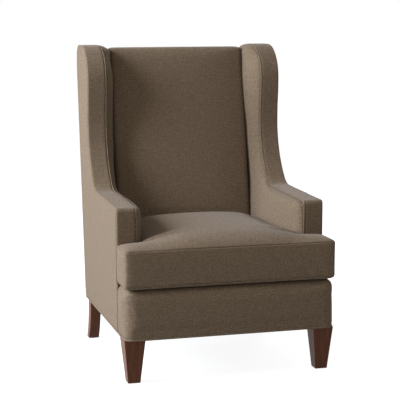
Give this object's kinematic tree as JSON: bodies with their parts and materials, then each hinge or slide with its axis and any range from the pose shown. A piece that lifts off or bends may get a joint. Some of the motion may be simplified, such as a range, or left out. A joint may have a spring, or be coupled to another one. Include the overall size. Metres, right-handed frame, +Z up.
{
  "type": "wing chair",
  "caption": "Upholstered wing chair with low square arms, a tight back, tapered front legs, swept rear legs and a loose T-shaped seat cushion that lifts off its sprung deck.",
  "frame": {"origin": "on the floor, under the middle of the chair's box", "axes": "+Z up, -Y the way the chair faces, +X to the right as seen from the front"},
  "size_m": [0.764, 0.8615, 1.14],
  "materials": {
    "cover_cloth": "heathered flat weave",
    "foam": "cut polyurethane foam",
    "wadding": "felted fibre pad",
    "black_cloth": "plain black decking, webbing and dust cloth",
    "frame_wood": "sawn hardwood, unfinished",
    "leg_wood": "dark brown stain under satin lacquer",
    "steel": "bright drawn steel",
    "zip_metal": "antique brass",
    "zip_tape": "woven tape with nylon coil",
    "glide": "moulded nylon"
  },
  "bodies": {
    "chair": {"front_border_cover": "cover_cloth", "inside_back_cover": "cover_cloth", "inside_arm_cover_left": "cover_cloth", "inside_arm_cover_right": "cover_cloth", "facing_left": "cover_cloth", "facing_right": "cover_cloth", "outside_arm_panel_left": "cover_cloth", "outside_arm_panel_right": "cover_cloth", "outside_back_panel": "cover_cloth", "wing_welt_left": "cover_cloth", "wing_welt_right": "cover_cloth", "base_welt": "cover_cloth", "front_border_pad": "foam", "inside_back_pad": "foam", "arm_pad_left": "foam", "arm_pad_right": "foam", "deck_pad": "foam", "deck_insulator": "wadding", "deck_cloth": "black_cloth", "dust_cover": "black_cloth", "back_webbing": "black_cloth", "front_rail": "frame_wood", "back_rail": "frame_wood", "side_rail_left": "frame_wood", "side_rail_right": "frame_wood", "back_post_left": "frame_wood", "back_post_right": "frame_wood", "crest_rail": "frame_wood", "lower_back_rail": "frame_wood", "arm_post_left": "frame_wood", "arm_post_right": "frame_wood", "arm_rail_left": "frame_wood", "arm_rail_right": "frame_wood", "wing_post_left": "frame_wood", "wing_post_right": "frame_wood", "wing_top_left": "frame_wood", "wing_top_right": "frame_wood", "corner_blocks": "frame_wood", "frame_dowels": "frame_wood", "front_leg_left": "leg_wood", "front_leg_right": "leg_wood", "rear_leg_left": "leg_wood", "rear_leg_right": "leg_wood", "corner_block_screws": "steel", "leg_bolts": "steel", "leg_nuts": "steel", "seat_springs": "steel", "spring_clips": "steel", "spring_ties": "steel", "glides": "glide"},
    "cushion": {"cushion_core": "foam", "cushion_top_panel": "cover_cloth", "cushion_boxing": "cover_cloth", "cushion_bottom_panel": "cover_cloth", "cushion_zip": "zip_tape"},
    "slider": {"zip_slider": "zip_metal"}
  },
  "joints": [
    {"name": "cushion_lift", "type": "slide", "parent": "chair", "child": "cushion", "axis": [0, 0, 1], "range_m": [0, 0.81]},
    {"name": "zip_slide", "type": "slide", "parent": "cushion", "child": "slider", "axis": [-1, 0, 0], "range_m": [0, 0.45]}
  ]
}
